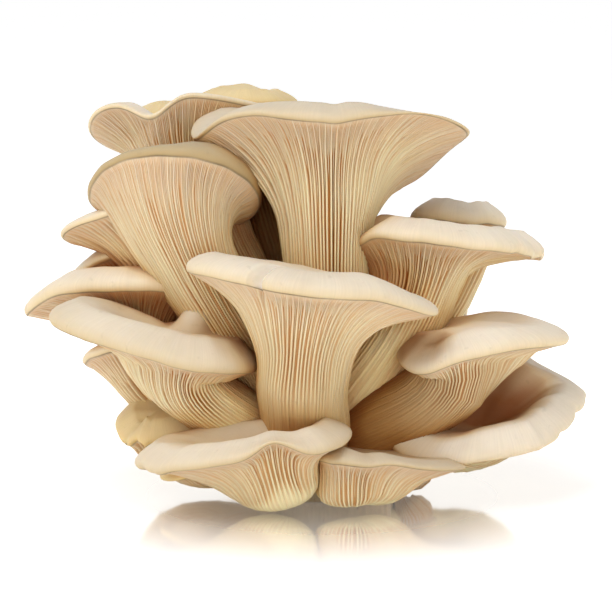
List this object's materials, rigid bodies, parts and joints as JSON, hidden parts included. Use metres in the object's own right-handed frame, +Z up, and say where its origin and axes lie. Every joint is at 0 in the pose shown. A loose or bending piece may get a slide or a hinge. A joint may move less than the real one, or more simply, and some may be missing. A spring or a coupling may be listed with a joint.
{
  "type": "oyster mushroom cluster",
  "caption": "Cluster of oyster mushrooms with fan-shaped caps and gilled stems, grown from one cut butt and standing on its flat face.",
  "frame": {"origin": "middle of the flat cut face under the butt, on the surface the cluster stands on", "axes": "+Z up, +X to the right along the widest spread of the caps, +Y from the front of the cluster to its back"},
  "size_m": [0.1858, 0.131, 0.133],
  "materials": {
    "pale_flesh": "matt to satin cream flesh with darker gaps between the gills",
    "tan_flesh": "matt to satin tan flesh of the small and hidden caps",
    "cut_flesh": "fibrous cut flesh"
  },
  "bodies": {
    "root": {"cut_butt": "cut_flesh", "mushroom_top_centre": "pale_flesh", "mushroom_top_left": "pale_flesh", "mushroom_front_centre": "pale_flesh", "mushroom_upper_right": "pale_flesh", "mushroom_lower_right": "pale_flesh", "mushroom_base_right": "pale_flesh", "mushroom_front_left": "pale_flesh", "mushroom_front_right": "pale_flesh", "mushroom_left_front": "pale_flesh", "mushroom_left_back": "pale_flesh", "mushroom_left_upper": "pale_flesh", "mushroom_left_far": "pale_flesh", "mushroom_rear_top_left": "pale_flesh", "mushroom_rear_top": "tan_flesh", "mushroom_right_rear": "pale_flesh", "mushroom_left_lower": "pale_flesh", "mushroom_base_left": "tan_flesh", "button_base_left": "tan_flesh", "button_base_right": "pale_flesh", "mushroom_rear_right": "pale_flesh", "mushroom_rear_centre": "pale_flesh", "mushroom_rear_left": "pale_flesh", "mushroom_rear_low": "pale_flesh", "mushroom_rear_far": "tan_flesh", "mushroom_rear_middle": "pale_flesh", "mushroom_rear_base": "pale_flesh"}
  },
  "joints": []
}
